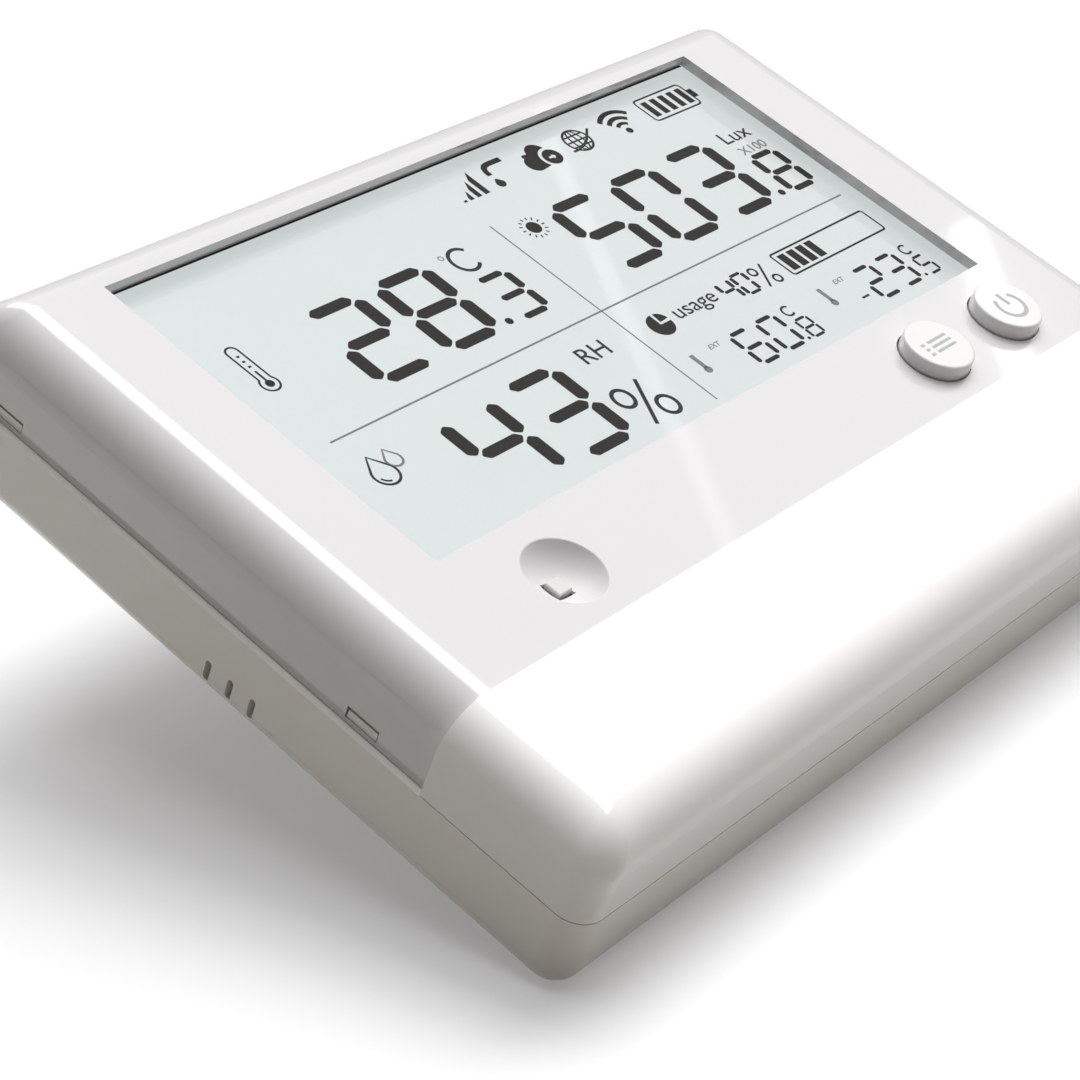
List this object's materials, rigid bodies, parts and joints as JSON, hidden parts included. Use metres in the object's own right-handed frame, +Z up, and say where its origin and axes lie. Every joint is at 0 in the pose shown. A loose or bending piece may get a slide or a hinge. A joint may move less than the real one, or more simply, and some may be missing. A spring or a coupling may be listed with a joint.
{
  "type": "temperature and humidity sensor",
  "caption": "Desk or wall climate sensor: white case leaning back on a fold-out leg, segment display, light dish, two keys, battery bay and side sockets.",
  "frame": {"origin": "bottom centre of the part's box, on the surface it stands on", "axes": "+X along the case's long side, to the right of someone facing the display; +Z up; +Y from the front to the back of the pose. The case leans back by 20.9 degrees"},
  "size_m": [0.13, 0.0906, 0.0495],
  "materials": {
    "shell": "fine satin moulding, white",
    "face": "gloss white",
    "chin": "gloss pure white",
    "keys": "gloss white, grey symbols",
    "lens": "clear moulded window",
    "display": "pale grey-cyan segment display",
    "panel": "white diffuser",
    "inner_frame": "plain moulding",
    "board": "solder-masked laminate",
    "chip": "moulded resin",
    "jack": "black moulding",
    "shield": "tin-plated sheet",
    "spring_metal": "nickel-plated spring strip",
    "screw_metal": "zinc-plated",
    "guide": "milky translucent",
    "ribbon": "amber film",
    "cell": "printed sleeve"
  },
  "bodies": {
    "case": {"rear_shell": "shell", "front_cover": "face", "chin_cover": "chin", "display_lens": "lens", "lcd_glass": "display", "light_panel": "panel", "display_clamp": "inner_frame", "main_board": "board", "radio_module": "shield", "controller_chip": "chip", "buzzer": "chip", "power_socket": "shield", "probe_jack": "jack", "sensor_board": "board", "climate_sensor": "chip", "button_board": "board", "key_domes": "spring_metal", "light_guide": "guide", "display_cable": "ribbon", "button_cable": "ribbon", "left_contact": "spring_metal", "right_contact": "spring_metal", "battery_cell_1": "cell", "battery_cell_2": "cell", "battery_cell_3": "cell", "battery_cell_4": "cell", "hinge_pin": "screw_metal", "case_screws": "screw_metal", "board_screws": "screw_metal", "clamp_screws": "screw_metal"},
    "stand": {"stand_leg": "shell"},
    "menu_key": {"menu_button": "keys"},
    "power_key": {"power_button": "keys"},
    "battery_cover": {"battery_door": "shell"}
  },
  "joints": [
    {"name": "stand_hinge", "type": "hinge", "parent": "case", "child": "stand", "pos_m": [0, 0.03365, 0.02977], "axis": [1, 0, 0], "range_deg": [-80, 0]},
    {"name": "menu_press", "type": "slide", "parent": "case", "child": "menu_key", "axis": [0, 0.3567, -0.9342], "range_m": [0, 0.0004], "stiffness_N_per_m": 800, "springref_m": -0.0003},
    {"name": "power_press", "type": "slide", "parent": "case", "child": "power_key", "axis": [0, 0.3567, -0.9342], "range_m": [0, 0.0004], "stiffness_N_per_m": 800, "springref_m": -0.0003},
    {"name": "battery_door_lift", "type": "slide", "parent": "case", "child": "battery_cover", "axis": [0, 0.3567, -0.9342], "range_m": [0, 0.015]}
  ]
}
